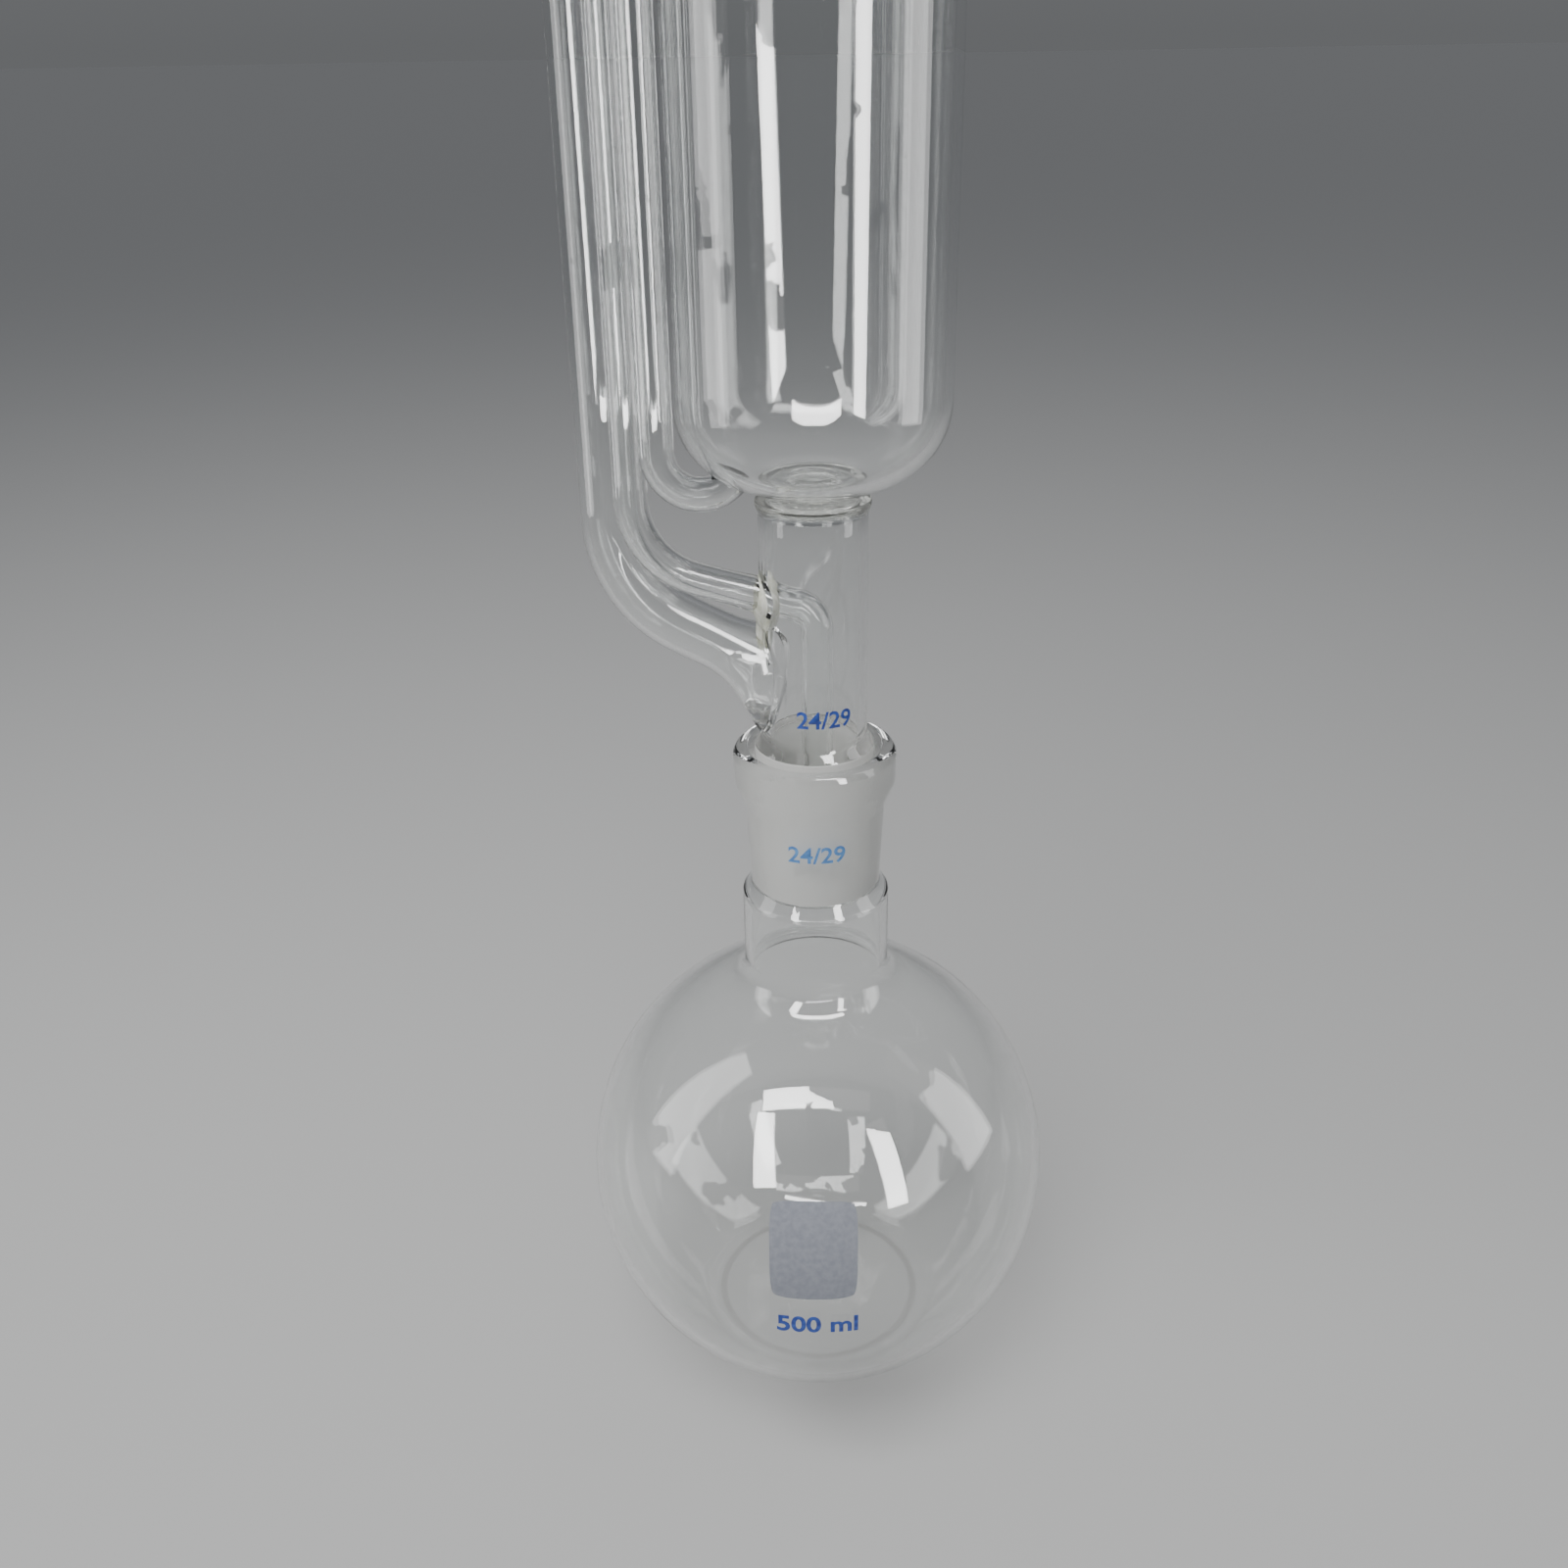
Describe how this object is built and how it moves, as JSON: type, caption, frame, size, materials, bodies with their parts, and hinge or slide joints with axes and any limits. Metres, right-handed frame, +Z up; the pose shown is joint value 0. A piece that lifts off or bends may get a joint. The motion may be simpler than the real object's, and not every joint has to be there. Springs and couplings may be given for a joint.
{
  "type": "soxhlet extractor with flask and liebig condenser",
  "caption": "Siphoning glass extractor with vapour and siphon side tubes, on a flat-bottomed flask, with a straight water-jacketed condenser in its top joint.",
  "frame": {"origin": "centre of the flask's flat base", "axes": "+Z up along the common axis of the flask, extractor and condenser; -X towards the extractor's side tubes"},
  "size_m": [0.1028, 0.1028, 0.7264],
  "materials": {
    "clear_glass": "clear polished borosilicate glass",
    "ground_glass": "finely ground frosted glass",
    "blue_print": "fired-on blue enamel marking"
  },
  "bodies": {
    "flask": {"flask_bulb": "clear_glass", "flask_neck": "clear_glass", "flask_socket": "ground_glass"},
    "extractor": {"extractor_cone": "ground_glass", "vapour_stem": "clear_glass", "stem_seal": "clear_glass", "extraction_chamber": "clear_glass", "chamber_socket": "ground_glass", "vapour_tube": "clear_glass", "siphon_riser": "clear_glass", "siphon_down_leg": "clear_glass", "drip_tube": "clear_glass"},
    "condenser": {"condenser_cone": "ground_glass", "inner_tube": "clear_glass", "water_jacket": "clear_glass", "water_inlet": "clear_glass", "water_outlet": "clear_glass", "top_socket": "ground_glass"}
  },
  "joints": [
    {"name": "extractor_lift", "type": "slide", "parent": "flask", "child": "extractor", "axis": [0, 0, 1], "range_m": [0, 0.045]},
    {"name": "condenser_lift", "type": "slide", "parent": "extractor", "child": "condenser", "axis": [0, 0, 1], "range_m": [0, 0.07]}
  ]
}
